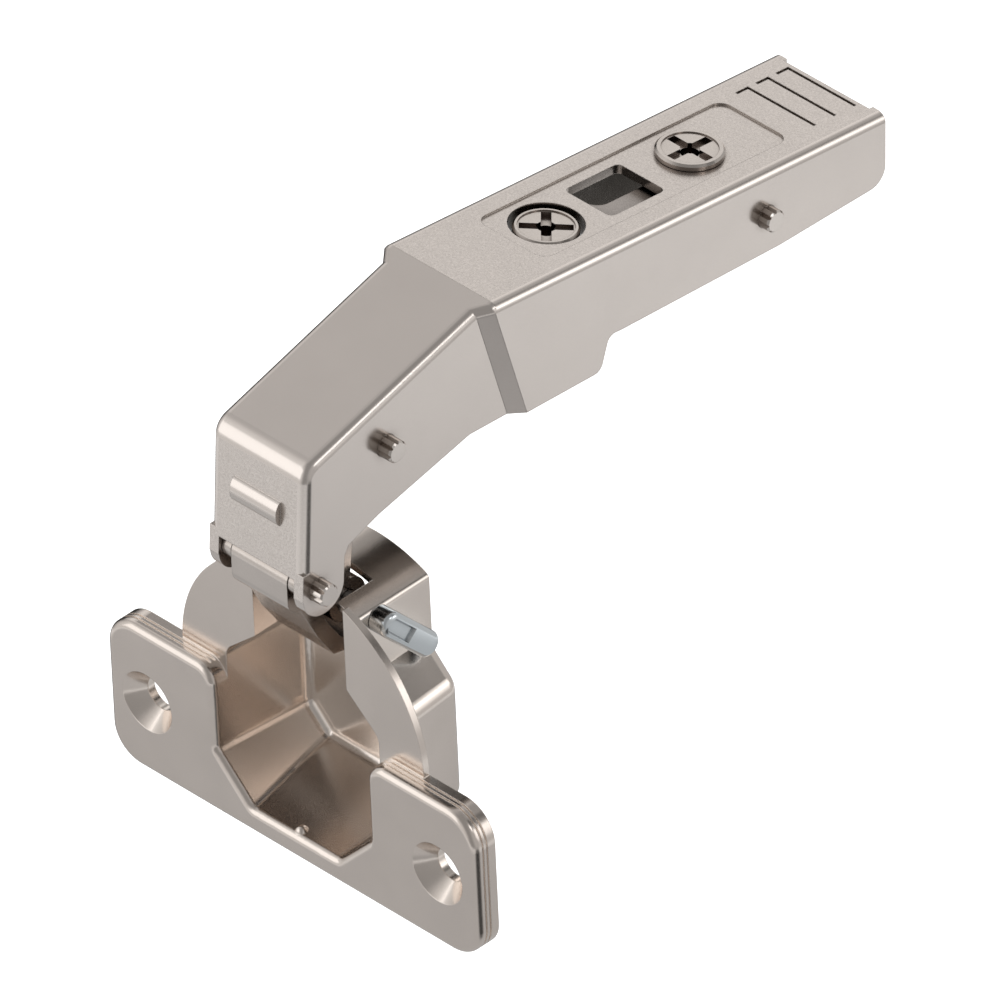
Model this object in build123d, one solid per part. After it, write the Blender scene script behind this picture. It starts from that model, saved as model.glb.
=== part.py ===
from build123d import *
import math
import os

# Concealed hinge for a blind corner cabinet, drawn in its open position.
# X runs along the pivots, Y points into the door and Z points towards the arm.
# The origin is the cup's centre on the front plane of its screw flange.
# All sizes are in millimetres and all angles in degrees.

# Cup: screw flange
FLANGE_WIDTH = 57.0
FLANGE_HEIGHT = 19.5
FLANGE_THICKNESS = 3.2
FLANGE_CORNER_RADIUS = 4.2
FLANGE_EDGE_RADIUS = 0.9
NOTCH_CORNER_RADIUS = 2.4
EDGE_GROOVE_WIDTH = 0.24
EDGE_GROOVE_DEPTH = 0.22
EDGE_GROOVE_SPACING = 0.62
SCREW_SPACING = 45.0
SCREW_LINE_DROP = 9.5
SCREW_HOLE_RADIUS = 2.1
COUNTERSINK_RADIUS = 3.85
COUNTERSINK_DEPTH = 2.2

# Cup: rim, pocket and body
CUP_RADIUS = 17.45
RIM_RADIUS = 18.7
RIM_THICKNESS = 0.9
CUP_BOTTOM = 14.6
CUP_WALL = 0.9
UPPER_HALF_WIDTH = 7.1
MOUTH_HALF_WIDTH = 12.0
FLOOR_HALF_WIDTH = 11.0
MOUTH_LOW = -16.2
FLOOR_LOW = -14.1
MOUTH_CHAMFER_WIDTH = 5.4
MOUTH_CHAMFER_HEIGHT = 5.6
FLOOR_CHAMFER_WIDTH = 3.0
FLOOR_CHAMFER_HEIGHT = 3.1
LOWER_POCKET_TOP = 2.2
SHOULDER_TOP = 6.4
CORNER_RADIUS = 1.4
SHOULDER_RADIUS = 2.2
FLOOR_CORNER_RADIUS = 1.2
BACK_CORNER_RADIUS = 1.5
UPPER_EDGE_RADIUS = 0.8
ROOF_START = 3.5
ROOF_NOTCH_END = 8.9
ROOF_NOTCH_HALF_WIDTH = 5.1
FLOOR_WINDOW_HALF_WIDTH = 5.6
FLOOR_WINDOW_LOW = 4.6
FLOOR_WINDOW_HIGH = 12.6
NIB_RADIUS = 0.75

# Pivots of the linkage in the open position, as (Y, Z)
INNER_CUP_PIVOT = (6.8, 14.2)
OUTER_CUP_PIVOT = (12.0, 8.6)
FRONT_ARM_PIVOT = (-1.3, 22.3)
REAR_ARM_PIVOT = (9.92, 35.5)

# Pins and running fits
CUP_PIN_RADIUS = 1.2
PIN_SEAT = 0.05
PIN_STICKOUT = 0.3
BIGHT_WIDTH = 3.2
BIGHT_CHAMFER = 0.7
RIVET_RADIUS = 1.1
SPLINE_RADIUS = 1.35
SPLINE_COUNT = 8
SPLINE_DEPTH = 0.4
FRONT_RIVET_STICKOUT = 1.9
RIVET_HEAD_STICKOUT = 0.3
REAR_RIVET_STICKOUT = 1.5
RUNNING_CLEARANCE = 0.06
FIXED_CLEARANCE = 0.02
SIDE_CLEARANCE = 0.2

# Links
OUTER_LINK_HALF_WIDTH = 4.3
OUTER_LINK_THICKNESS = 1.9
OUTER_LINK_EYE_WALL = 0.65
OUTER_LINK_CUP_EYE = 2.2
LINK_DROP = (0.3, -2.9)
LINK_HEAD_LENGTH = 2.6
SPRING_BAY_HALF_WIDTH = 3.1
NECK_RADIUS = 5.0
INNER_LINK_HALF_WIDTH = 3.2
INNER_LINK_THICKNESS = 2.0
INNER_LINK_OFFSET = 0.9
INNER_LINK_CUP_EYE = 2.75
INNER_LINK_RIM = 1.1
SLOT_REACH_IN = 3.15
FORK_REACH = 0.9
FORK_CORNER_RADIUS = 0.9
SLOT_REACH_UP = 1.2
SLOT_REACH_DOWN = 0.35

# Arm: folded sheet in three runs, as angles from the Y axis
SHEET = 1.4
FRONT_HALF_WIDTH = 7.2
REAR_HALF_WIDTH = 8.55
FRONT_PLATE_LEAN = 4.6
MID_RUN_SLOPE = 15.0
REAR_RUN_SLOPE = -7.0
FRONT_PLATE_Y = -2.9
FRONT_PLATE_Z = 30.0
CREST = (26.1, 46.15)
REAR_RUN_LENGTH = 60.3
BEND_RADIUS = 1.15
FRONT_BEND_RADIUS = 2.6
EAR_CENTRE = (-0.4, 21.6)
EAR_RADIUS = 3.1
FRONT_PLATE_END = 24.0
JOG_TOP = (24.0, 45.6)
JOG_LOW = (28.1, 29.6)
JOG_LENGTH = 1.7

# Arm: features of the top plate, as distances behind the crest
SIDE_SCREW_AT = 16.2
DEPTH_SCREW_AT = 38.4
WINDOW_FROM = 22.5
WINDOW_TO = 31.0
WINDOW_HALF_WIDTH = 3.65
WINDOW_CORNER_RADIUS = 0.8
PANEL_FROM = 10.5
PANEL_TO = 48.6
PANEL_HALF_WIDTH = 5.3
PANEL_DEPTH = 0.25
PANEL_CORNER_RADIUS = 1.6
GROOVE_FROM = 52.7
GROOVE_PITCH = 3.15
GROOVE_COUNT = 3
GROOVE_WIDTH = 0.4
GROOVE_DEPTH = 0.35
GROOVE_HALF_LENGTH = 5.15
GROOVE_HOOK = 1.6
BAR_HALF_WIDTH = 3.55
BAR_HEIGHT = 3.2
BAR_RISE = 0.75
BAR_Z = 31.45
END_CUT_HALF_WIDTH = 6.6
END_CUT_LENGTH = 0.55
REAR_RIVET_AT = 42.15
REAR_RIVET_DROP = 5.85

# Adjusting screws
SIDE_HEAD_RADIUS = 3.75
SIDE_HOLE_RADIUS = 4.3
SIDE_HEAD_SINK = 0.5
SIDE_SHANK_RADIUS = 2.0
SIDE_SHANK_LENGTH = 3.0
NUT_RADIUS = 5.2
NUT_HEIGHT = 1.6
DEPTH_HEAD_RADIUS = 3.9
DEPTH_HEAD_RISE = 0.55
DEPTH_NECK_RADIUS = 2.6
CROSS_WIDTH = 1.15
CROSS_DEPTH = 0.7
CROSS_REACH = 0.8
CROSS_CORE = 0.95
CROSS_CORE_DEPTH = 2.0
DISH_DEPTH = 0.15
DISH_REACH = 0.86
HEAD_CHAMFER = 0.25

# Adapter inside the rear run, and its clip
ADAPTER_SHEET = 1.2
ADAPTER_GAP = 0.35
ADAPTER_HALF_WIDTH = 6.8
ADAPTER_FROM = 9.0
ADAPTER_TO = 57.5
ADAPTER_DEPTH = 6.4
VIEW_WIDTH = 5.4
VIEW_LENGTH = 9.0
VIEW_FROM = 24.2
VIEW_CORNER_RADIUS = 1.9
DEPTH_TRAVEL = 2.0
HOOK_PIN_AT = 12.5
HOOK_PIN_RADIUS = 1.25
CLIP_PIN_AT = 49.5
CLIP_PIN_RADIUS = 1.2
CLIP_PIN_DROP = 5.0
CLIP_SHEET = 1.2
CLIP_HALF_WIDTH = 4.2
CLIP_SPRING_SHEET = 0.3

# Closing springs
SPRING_WIRE = 0.7
SPRING_WIRE_SIDES = 8
SPRING_PITCH = 1.1
SPRING_PLAY = 0.15
SPRING_TURNS = 4
SPRING_LEG = 2.6
SPRING_LEG_TURN = 90


def pin_along_x(pivot, radius, x_from, x_to):
    """A round bar along X between two X values."""
    length = x_to - x_from
    place = Location(((x_from + x_to) / 2, pivot[0], pivot[1]), (0, 90, 0))
    return place * Cylinder(radius, length)


def slab(profile, half_width):
    """A Y-Z profile pulled out to both sides of the middle plane."""
    return extrude(Plane.YZ * profile, half_width, both=True)


def rear_run():
    """The frame of the rear run: Y along its top plate, Z away from it."""
    return Location((0, CREST[0], CREST[1]), (REAR_RUN_SLOPE, 0, 0))


def from_rear_run(along, height):
    """The (Y, Z) point that lies at a distance behind the crest and a height over the top plate."""
    slope = math.radians(REAR_RUN_SLOPE)
    return (
        CREST[0] + along * math.cos(slope) - height * math.sin(slope),
        CREST[1] + along * math.sin(slope) + height * math.cos(slope),
    )


def flange_outline(inset):
    """The flange's rounded outline in the X-Z plane, made smaller by the inset."""
    outline = RectangleRounded(
        FLANGE_WIDTH - 2 * inset, FLANGE_HEIGHT - 2 * inset, FLANGE_CORNER_RADIUS - inset
    )
    return Plane((0, 0, -SCREW_LINE_DROP), x_dir=(1, 0, 0), z_dir=(0, 1, 0)) * outline


def flange():
    """The screw flange: notched for the cup's mouth, with rounded edges and two pressed lines."""
    plate = extrude(flange_outline(0), FLANGE_THICKNESS) - cup_block(0, 0, CUP_BOTTOM - CUP_WALL)
    top = plate.faces().sort_by(Axis.Z)[-1].center().Z
    corners = []
    for edge in plate.edges():
        middle = edge.position_at(0.5)
        if abs(edge.tangent_at(0.5).Y) > 0.9 and middle.Z > top - 0.1 and abs(middle.X) < MOUTH_HALF_WIDTH + 0.1:
            corners.append(edge)
    plate = fillet(corners, NOTCH_CORNER_RADIUS)
    front = plate.faces().sort_by(Axis.Y)[0]
    plate = fillet(front.edges(), FLANGE_EDGE_RADIUS)
    for line in range(2):
        start = FLANGE_EDGE_RADIUS + 0.5 * EDGE_GROOVE_SPACING + line * EDGE_GROOVE_SPACING
        ring = extrude(flange_outline(-1.0), EDGE_GROOVE_WIDTH)
        ring -= extrude(flange_outline(EDGE_GROOVE_DEPTH), EDGE_GROOVE_WIDTH)
        plate -= Pos(0, start, 0) * ring
    return plate


def screw_holes():
    """The two countersunk holes of the flange, as solids to cut away."""
    facing = Plane((0, 0, -SCREW_LINE_DROP), x_dir=(1, 0, 0), z_dir=(0, -1, 0))
    cone = Cone(SCREW_HOLE_RADIUS, COUNTERSINK_RADIUS, COUNTERSINK_DEPTH)
    holes = []
    for x in (-SCREW_SPACING / 2, SCREW_SPACING / 2):
        holes.append(facing * Pos(x, 0, -COUNTERSINK_DEPTH / 2) * cone)
        holes.append(facing * Pos(x, 0, 0) * Cylinder(SCREW_HOLE_RADIUS, 4 * FLANGE_THICKNESS))
    return holes


def cup_outline(y, grow, share):
    """The cup's rounded X-Z outline at one depth, from the mouth (share 0) to the floor (share 1)."""
    half = MOUTH_HALF_WIDTH + (FLOOR_HALF_WIDTH - MOUTH_HALF_WIDTH) * share + grow
    low = MOUTH_LOW + (FLOOR_LOW - MOUTH_LOW) * share - grow
    wide = MOUTH_CHAMFER_WIDTH + (FLOOR_CHAMFER_WIDTH - MOUTH_CHAMFER_WIDTH) * share
    high = MOUTH_CHAMFER_HEIGHT + (FLOOR_CHAMFER_HEIGHT - MOUTH_CHAMFER_HEIGHT) * share
    narrow = UPPER_HALF_WIDTH + grow
    shoulder = LOWER_POCKET_TOP + grow
    points = [
        (-half, low + high),
        (-half + wide, low),
        (half - wide, low),
        (half, low + high),
        (half, shoulder),
        (narrow, SHOULDER_TOP + grow),
        (-narrow, SHOULDER_TOP + grow),
        (-half, shoulder),
    ]
    outline = make_face(Polyline(*points, close=True))
    low_corners = [v for v in outline.vertices() if v.Y < low + high + 0.1]
    outline = fillet(low_corners, CORNER_RADIUS + grow / 2)
    shoulder_corners = [v for v in outline.vertices() if v.Y > shoulder - 0.1 and abs(v.X) > half - 0.1]
    outline = fillet(shoulder_corners, SHOULDER_RADIUS + grow / 2)
    return Plane((0, y, 0), x_dir=(1, 0, 0), z_dir=(0, -1, 0)) * outline


def cup_block(grow, front, back):
    """The tapered lower part of the cup; grow makes it larger all round for the outer body."""
    share = min((back - front) / (CUP_BOTTOM - CUP_WALL), 1)
    block = loft([cup_outline(front, grow, 0), cup_outline(back, grow, share)], ruled=True)
    radius = BACK_CORNER_RADIUS if grow else FLOOR_CORNER_RADIUS
    return fillet(block.faces().sort_by(Axis.Y)[-1].edges(), radius)


def upper_box(grow, front, back, radius):
    """The narrow upper box with its arched top."""
    width = 2 * (UPPER_HALF_WIDTH + grow)
    box = Pos(0, (front + back) / 2, radius / 2) * Box(width, back - front, radius)
    arch = Location((0, (front + back) / 2, 0), (90, 0, 0)) * Cylinder(radius, back - front)
    block = box & arch
    top = block.edges().filter_by(Axis.Y).group_by(Axis.Z)[-1]
    return fillet(top, UPPER_EDGE_RADIUS)


def rim():
    """The flat rim that covers the edge of the drilled hole above the flange."""
    front = FLANGE_THICKNESS - RIM_THICKNESS
    disc = Location((0, front + RIM_THICKNESS / 2, 0), (90, 0, 0)) * Cylinder(
        RIM_RADIUS, RIM_THICKNESS
    )
    keep = Pos(0, front, RIM_RADIUS / 2 - 1) * Box(3 * RIM_RADIUS, 4 * RIM_THICKNESS, RIM_RADIUS + 2)
    gap = Pos(0, front, RIM_RADIUS) * Box(2 * UPPER_HALF_WIDTH, 4, 2 * RIM_RADIUS)
    return (disc & keep) - gap


def cup_body():
    """The outside of the drawn cup, behind the flange."""
    front = FLANGE_THICKNESS - RIM_THICKNESS
    hull = Location((0, (front + CUP_BOTTOM) / 2, 0), (90, 0, 0)) * Cylinder(
        CUP_RADIUS, CUP_BOTTOM - front
    )
    body = cup_block(CUP_WALL, front, CUP_BOTTOM) & hull
    return body + upper_box(CUP_WALL, front, CUP_BOTTOM, CUP_RADIUS)


def cup_space():
    """The hollow inside of the cup, open at the front and, before the roof, at the top."""
    floor = CUP_BOTTOM - CUP_WALL
    pocket = cup_block(0, 0, floor)
    upper = upper_box(0, ROOF_START - 1, floor, CUP_RADIUS - CUP_WALL)
    mouth = Pos(0, ROOF_START / 2 - 1, RIM_RADIUS / 2) * Box(
        2 * UPPER_HALF_WIDTH, ROOF_START + 2, RIM_RADIUS + 6
    )
    return pocket + upper + mouth


def cup():
    """The drawn steel cup with its flange, pocket, roof and pin holes, as one piece."""
    shell = flange() + rim() + cup_body()
    shell -= cup_space()
    for hole in screw_holes():
        shell -= hole
    notch = Pos(0, (ROOF_START + ROOF_NOTCH_END) / 2 - 1, CUP_RADIUS) * Box(
        2 * ROOF_NOTCH_HALF_WIDTH, ROOF_NOTCH_END - ROOF_START + 2, 6
    )
    window_height = FLOOR_WINDOW_HIGH - FLOOR_WINDOW_LOW
    window = Pos(0, CUP_BOTTOM, FLOOR_WINDOW_LOW + window_height / 2) * Box(
        2 * FLOOR_WINDOW_HALF_WIDTH, 4 * CUP_WALL, window_height
    )
    shell = shell - notch - window
    reach = CUP_RADIUS
    for pivot in (INNER_CUP_PIVOT, OUTER_CUP_PIVOT):
        shell -= pin_along_x(pivot, CUP_PIN_RADIUS + FIXED_CLEARANCE, -reach, reach)
    nib = Location((0, 1.2, MOUTH_LOW), (0, 0, 0)) * Sphere(NIB_RADIUS)
    return shell + nib


def cup_pin():
    """The U-shaped pin: two legs through the cup, joined by a flattened bight outside it."""
    wall = UPPER_HALF_WIDTH + CUP_WALL
    y_a, z_a = INNER_CUP_PIVOT
    y_b, z_b = OUTER_CUP_PIVOT
    span = math.hypot(y_b - y_a, z_b - z_a)
    turn = math.degrees(math.atan2(z_b - z_a, y_b - y_a))
    middle = Plane(
        (wall + PIN_SEAT, (y_a + y_b) / 2, (z_a + z_b) / 2), x_dir=(0, 1, 0), z_dir=(1, 0, 0)
    )
    strip = middle * Rot(0, 0, turn) * SlotCenterToCenter(span, BIGHT_WIDTH)
    pin = extrude(strip, 2 * CUP_PIN_RADIUS)
    pin = chamfer(pin.faces().sort_by(Axis.X)[-1].edges(), BIGHT_CHAMFER)
    for pivot in (INNER_CUP_PIVOT, OUTER_CUP_PIVOT):
        pin += pin_along_x(pivot, CUP_PIN_RADIUS - 0.005, -wall - PIN_STICKOUT, wall + 0.5)
    return pin


def link_neck():
    """The outer link's cranked strip, from the arm's front pivot round the inner cup pivot."""
    y_a, z_a = INNER_CUP_PIVOT
    y_c, z_c = FRONT_ARM_PIVOT
    around = [
        (y_a + NECK_RADIUS * math.cos(math.radians(a)), z_a + NECK_RADIUS * math.sin(math.radians(a)))
        for a in (190, 235, 280)
    ]
    front_drop = (y_c + LINK_DROP[0], z_c + LINK_DROP[1])
    path = Polyline((y_c, z_c), front_drop, *around, OUTER_CUP_PIVOT)
    return trace(path, OUTER_LINK_THICKNESS)


def outer_link():
    """The cranked outer link with an eye at each end and a bay for the closing spring."""
    profile = link_neck()
    eye = RIVET_RADIUS + RUNNING_CLEARANCE + OUTER_LINK_EYE_WALL
    head = Rot(0, 0, 90) * SlotCenterToCenter(LINK_HEAD_LENGTH, 2 * eye)
    profile += Pos(FRONT_ARM_PIVOT[0], FRONT_ARM_PIVOT[1] - LINK_HEAD_LENGTH / 2) * head
    profile += Pos(*OUTER_CUP_PIVOT) * Circle(OUTER_LINK_CUP_EYE)
    link = slab(profile, OUTER_LINK_HALF_WIDTH)
    for pivot, radius in ((FRONT_ARM_PIVOT, RIVET_RADIUS), (OUTER_CUP_PIVOT, CUP_PIN_RADIUS)):
        link -= pin_along_x(pivot, radius + RUNNING_CLEARANCE, -2 * CUP_RADIUS, 2 * CUP_RADIUS)
    bay = spring_coil_radius() + SPRING_WIRE + SIDE_CLEARANCE
    return link - pin_along_x(OUTER_CUP_PIVOT, bay, -SPRING_BAY_HALF_WIDTH, SPRING_BAY_HALF_WIDTH)


def inner_link():
    """The straight inner link; its forked end leaves room for the arm's rivet to wander."""
    y_a, z_a = INNER_CUP_PIVOT
    y_d, z_d = REAR_ARM_PIVOT
    length = math.hypot(y_d - y_a, z_d - z_a)
    turn = math.degrees(math.atan2(z_d - z_a, y_d - y_a))
    slot_width = SLOT_REACH_UP + SLOT_REACH_DOWN + 2 * RIVET_RADIUS
    slot_across = (SLOT_REACH_UP - SLOT_REACH_DOWN) / 2
    slot_from = length - SLOT_REACH_IN - RIVET_RADIUS
    fork_length = FORK_REACH + SLOT_REACH_IN + RIVET_RADIUS
    head_length = fork_length + INNER_LINK_RIM
    head = RectangleRounded(head_length, slot_width + 2 * INNER_LINK_RIM, FORK_CORNER_RADIUS)
    slot = RectangleRounded(2 * fork_length, slot_width, RIVET_RADIUS)
    profile = Pos(slot_from / 2, INNER_LINK_OFFSET) * Rectangle(slot_from, INNER_LINK_THICKNESS)
    profile += Circle(INNER_LINK_CUP_EYE)
    profile += Pos(length + FORK_REACH - head_length / 2, slot_across) * head
    profile -= Pos(slot_from + fork_length, slot_across) * slot
    profile -= Circle(CUP_PIN_RADIUS + RUNNING_CLEARANCE)
    return slab(Pos(y_a, z_a) * Rot(0, 0, turn) * profile, INNER_LINK_HALF_WIDTH)


def link_spacer(side):
    """A spacer bush on the front rivet, between the outer link and the arm's ear."""
    inner = OUTER_LINK_HALF_WIDTH + SIDE_CLEARANCE / 2
    outer = FRONT_HALF_WIDTH - SHEET - SIDE_CLEARANCE / 4
    ends = sorted((side * inner, side * outer))
    bush = pin_along_x(FRONT_ARM_PIVOT, RIVET_RADIUS + OUTER_LINK_EYE_WALL, *ends)
    return bush - pin_along_x(FRONT_ARM_PIVOT, RIVET_RADIUS + FIXED_CLEARANCE, -20, 20)


def splined_rivet(pivot, half_width, stickout):
    """A rivet across the arm, with a splined stub on its right and a flat head on its left."""
    plain = half_width - SHEET / 2
    rivet = pin_along_x(pivot, RIVET_RADIUS, -plain, plain)
    head = pin_along_x(pivot, SPLINE_RADIUS, -half_width - RIVET_HEAD_STICKOUT, -plain)
    stub = pin_along_x(pivot, SPLINE_RADIUS, plain, half_width + stickout)
    stub = chamfer(stub.faces().sort_by(Axis.X)[-1].edges(), 0.2)
    for index in range(SPLINE_COUNT):
        angle = 2 * math.pi * index / SPLINE_COUNT
        centre = (
            pivot[0] + SPLINE_RADIUS * math.cos(angle), pivot[1] + SPLINE_RADIUS * math.sin(angle)
        )
        groove = Rot(45 + math.degrees(angle), 0, 0) * Box(2 * stickout, SPLINE_DEPTH, SPLINE_DEPTH)
        stub -= Pos(half_width + stickout, *centre) * groove
    return rivet + head + stub


def front_line(z, inset):
    """The Y of the front plate's face at a height, moved in by an inset."""
    lean = math.radians(FRONT_PLATE_LEAN)
    return FRONT_PLATE_Y + (z - FRONT_PLATE_Z) * math.tan(lean) + inset / math.cos(lean)


def top_corner(inset):
    """The corner where the front plate meets the middle run's top, moved in by an inset."""
    slope = math.radians(MID_RUN_SLOPE)
    lean = math.tan(math.radians(FRONT_PLATE_LEAN))
    crest_z = CREST[1] - inset / math.cos(slope)
    base = front_line(0, inset)
    z = (crest_z + (base - CREST[0]) * math.tan(slope)) / (1 - lean * math.tan(slope))
    return (base + z * lean, z)


def crest_corner(inset):
    """The corner between the middle and rear runs' tops, moved in by an inset."""
    mid = math.radians(MID_RUN_SLOPE)
    rear = math.radians(REAR_RUN_SLOPE)
    shift = inset * (1 / math.cos(mid) - 1 / math.cos(rear)) / (math.tan(mid) - math.tan(rear))
    return (CREST[0] + shift, CREST[1] - inset / math.cos(rear) + shift * math.tan(rear))


def arm_side():
    """The arm's side view above the ears: three runs, the stepped lower edge and the rear end."""
    tail_top = from_rear_run(REAR_RUN_LENGTH, 0)
    points = [
        (front_line(FRONT_PLATE_END, 0), FRONT_PLATE_END),
        top_corner(0),
        CREST,
        tail_top,
        (tail_top[0] - 0.4, 29.8),
        (69.0, 30.3),
        (44.6, 32.4),
        (42.7, 32.7),
        (41.2, 28.6),
        (28.1, 29.5),
        (22.4, 29.9),
        (8.3, 27.0),
        (3.6, 25.5),
        (EAR_CENTRE[0] + EAR_RADIUS, FRONT_PLATE_END),
    ]
    outline = make_face(Polyline(*points, close=True))
    rounded = {1: FRONT_BEND_RADIUS, 4: 2.3, 7: 1.2, 8: 1.3}
    for index, radius in rounded.items():
        corner = outline.vertices().sort_by_distance((points[index][0], points[index][1], 0))[0]
        outline = fillet([corner], radius)
    return outline


def arm_inside():
    """The side view of the channel inside the arm, open below and at the rear."""
    corner = top_corner(SHEET)
    crest = crest_corner(SHEET)
    tail = from_rear_run(REAR_RUN_LENGTH + 8, -SHEET)
    points = [(front_line(0, SHEET), 0), corner, crest, tail, (tail[0], 0)]
    outline = make_face(Polyline(*points, close=True))
    near = outline.vertices().sort_by_distance((corner[0], corner[1], 0))[0]
    return fillet([near], FRONT_BEND_RADIUS - SHEET)


def jog_plane(shift):
    """The slanted plane where the arm's width starts or ends its step, facing the rear."""
    down = Vector(0, JOG_LOW[0] - JOG_TOP[0], JOG_LOW[1] - JOG_TOP[1]).normalized()
    return Plane(
        (0, JOG_TOP[0] + shift, JOG_TOP[1]), x_dir=(1, 0, 0), z_dir=(0, -down.Z, down.Y)
    )


def widened(profile, inset, bend):
    """The profile as a solid that steps from the front width to the rear width at the jog."""
    front = slab(profile, FRONT_HALF_WIDTH - inset)
    rear = slab(profile, REAR_HALF_WIDTH - inset)
    if bend:
        front = fillet(long_edges(front, FRONT_HALF_WIDTH), bend)
        rear = fillet(long_edges(rear, REAR_HALF_WIDTH), bend)
    start = jog_plane(0)
    finish = jog_plane(JOG_LENGTH)
    front = split(front, bisect_by=start, keep=Keep.BOTTOM)
    rear = split(rear, bisect_by=finish, keep=Keep.TOP)
    step = loft([cut_face(front, start), cut_face(rear, finish)], ruled=True)
    return front + step + rear


def long_edges(block, half_width):
    """The block's upper side edges, where the sheet is bent down."""
    edges = []
    for edge in block.edges():
        middle = edge.position_at(0.5)
        on_top = middle.Z > REAR_ARM_PIVOT[1] + EAR_RADIUS
        on_front = middle.Y < 0 and middle.Z > FRONT_PLATE_END + 1
        if abs(abs(middle.X) - half_width) < 0.01 and (on_top or on_front):
            edges.append(edge)
    return edges


def cut_face(block, plane):
    """The face that a plane has left on a cut block."""
    return sorted(block.faces(), key=lambda face: abs(plane.to_local_coords(face.center()).Z))[0]


def arm_ear(side):
    """One flat ear below the front plate, for the front rivet."""
    y_e, z_e = EAR_CENTRE
    top = FRONT_PLATE_END + 1.0
    points = [
        (front_line(z_e, 0), z_e),
        (front_line(top, 0), top),
        (y_e + EAR_RADIUS + 0.3, top),
        (y_e + EAR_RADIUS, z_e),
    ]
    profile = make_face(Polyline(*points, close=True)) + Pos(y_e, z_e) * Circle(EAR_RADIUS)
    plate = extrude(Plane.YZ * profile, SHEET)
    inner = FRONT_HALF_WIDTH - SHEET if side > 0 else -FRONT_HALF_WIDTH
    return Pos(inner, 0, 0) * plate


def arm_shell():
    """The folded sheet before its holes and pressings."""
    outside = widened(arm_side(), 0, BEND_RADIUS)
    inside = widened(arm_inside(), SHEET, 0)
    return outside - inside + arm_ear(1) + arm_ear(-1)


def top_plate_cuts():
    """Holes, window, sunk panel and grip grooves of the rear run's top plate."""
    run = rear_run()
    cuts = [run * Pos(0, SIDE_SCREW_AT, 0) * Cylinder(SIDE_HOLE_RADIUS, 4 * SHEET)]
    end_cut = Box(2 * END_CUT_HALF_WIDTH, 2 * END_CUT_LENGTH, 3 * SHEET)
    cuts.append(run * Pos(0, REAR_RUN_LENGTH, 0) * end_cut)
    cuts.append(run * Pos(0, DEPTH_SCREW_AT, 0) * Cylinder(DEPTH_NECK_RADIUS + 0.3, 4 * SHEET))
    window = RectangleRounded(2 * WINDOW_HALF_WIDTH, WINDOW_TO - WINDOW_FROM, WINDOW_CORNER_RADIUS)
    window = extrude(window, 2 * SHEET, both=True)
    cuts.append(run * Pos(0, (WINDOW_FROM + WINDOW_TO) / 2, 0) * window)
    panel = RectangleRounded(2 * PANEL_HALF_WIDTH, PANEL_TO - PANEL_FROM, PANEL_CORNER_RADIUS)
    panel = extrude(panel, PANEL_DEPTH, both=True)
    cuts.append(run * Pos(0, (PANEL_FROM + PANEL_TO) / 2, 0) * panel)
    for index in range(GROOVE_COUNT):
        at = GROOVE_FROM + index * GROOVE_PITCH
        long_cut = Box(2 * GROOVE_HALF_LENGTH, GROOVE_WIDTH, 2 * GROOVE_DEPTH)
        hook = Pos(-GROOVE_HALF_LENGTH, -GROOVE_HOOK / 2, 0) * Box(
            GROOVE_WIDTH, GROOVE_HOOK + GROOVE_WIDTH, 2 * GROOVE_DEPTH
        )
        cuts.append(run * Pos(0, at, 0) * (long_cut + hook))
    return cuts


def front_bar():
    """The half-round bar pressed out of the front plate."""
    section = Pos(0, front_line(BAR_Z, 0) + 0.25, BAR_Z) * Rot(-FRONT_PLATE_LEAN, 0, 0)
    outline = Plane.YZ * Ellipse(BAR_RISE + 0.25, BAR_HEIGHT / 2)
    return section * extrude(outline, BAR_HALF_WIDTH, both=True)


def hinge_arm():
    """The folded steel arm."""
    arm = arm_shell()
    for cut in top_plate_cuts():
        arm -= cut
    for pivot in (FRONT_ARM_PIVOT, REAR_ARM_PIVOT, from_rear_run(REAR_RIVET_AT, -REAR_RIVET_DROP)):
        arm -= pin_along_x(pivot, SPLINE_RADIUS + FIXED_CLEARANCE, -20, 20)
    return arm + front_bar()


def screw_drive(turn):
    """What a screw head lacks at its top: a shallow dish and a cross recess, deeper in the middle."""
    arm = Box(2 * SIDE_HEAD_RADIUS * CROSS_REACH, CROSS_WIDTH, 2 * CROSS_DEPTH)
    drive = Rot(0, 0, turn) * (arm + Rot(0, 0, 90) * arm)
    drive += Cylinder(SIDE_HEAD_RADIUS * DISH_REACH, 2 * DISH_DEPTH)
    return drive + Cylinder(CROSS_WIDTH * CROSS_CORE, 2 * CROSS_CORE_DEPTH)


def side_screw():
    """The side adjusting screw, its head sunk in the arm's round hole."""
    height = SHEET - SIDE_HEAD_SINK
    head = Pos(0, 0, -SIDE_HEAD_SINK - height / 2) * Cylinder(SIDE_HEAD_RADIUS, height)
    head = chamfer(head.faces().sort_by(Axis.Z)[-1].edges(), HEAD_CHAMFER)
    shank = Pos(0, 0, -SHEET - SIDE_SHANK_LENGTH / 2) * Cylinder(SIDE_SHANK_RADIUS, SIDE_SHANK_LENGTH)
    screw = head + shank - Pos(0, 0, -SIDE_HEAD_SINK) * screw_drive(45)
    return rear_run() * Pos(0, SIDE_SCREW_AT, 0) * screw


def side_screw_nut():
    """The round threaded plate under the arm's top that the side screw turns in."""
    place = Pos(0, SIDE_SCREW_AT, -SHEET - NUT_HEIGHT / 2)
    nut = Cylinder(NUT_RADIUS, NUT_HEIGHT)
    nut -= Cylinder(SIDE_SHANK_RADIUS + RUNNING_CLEARANCE, 2 * NUT_HEIGHT)
    return rear_run() * place * nut


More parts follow.
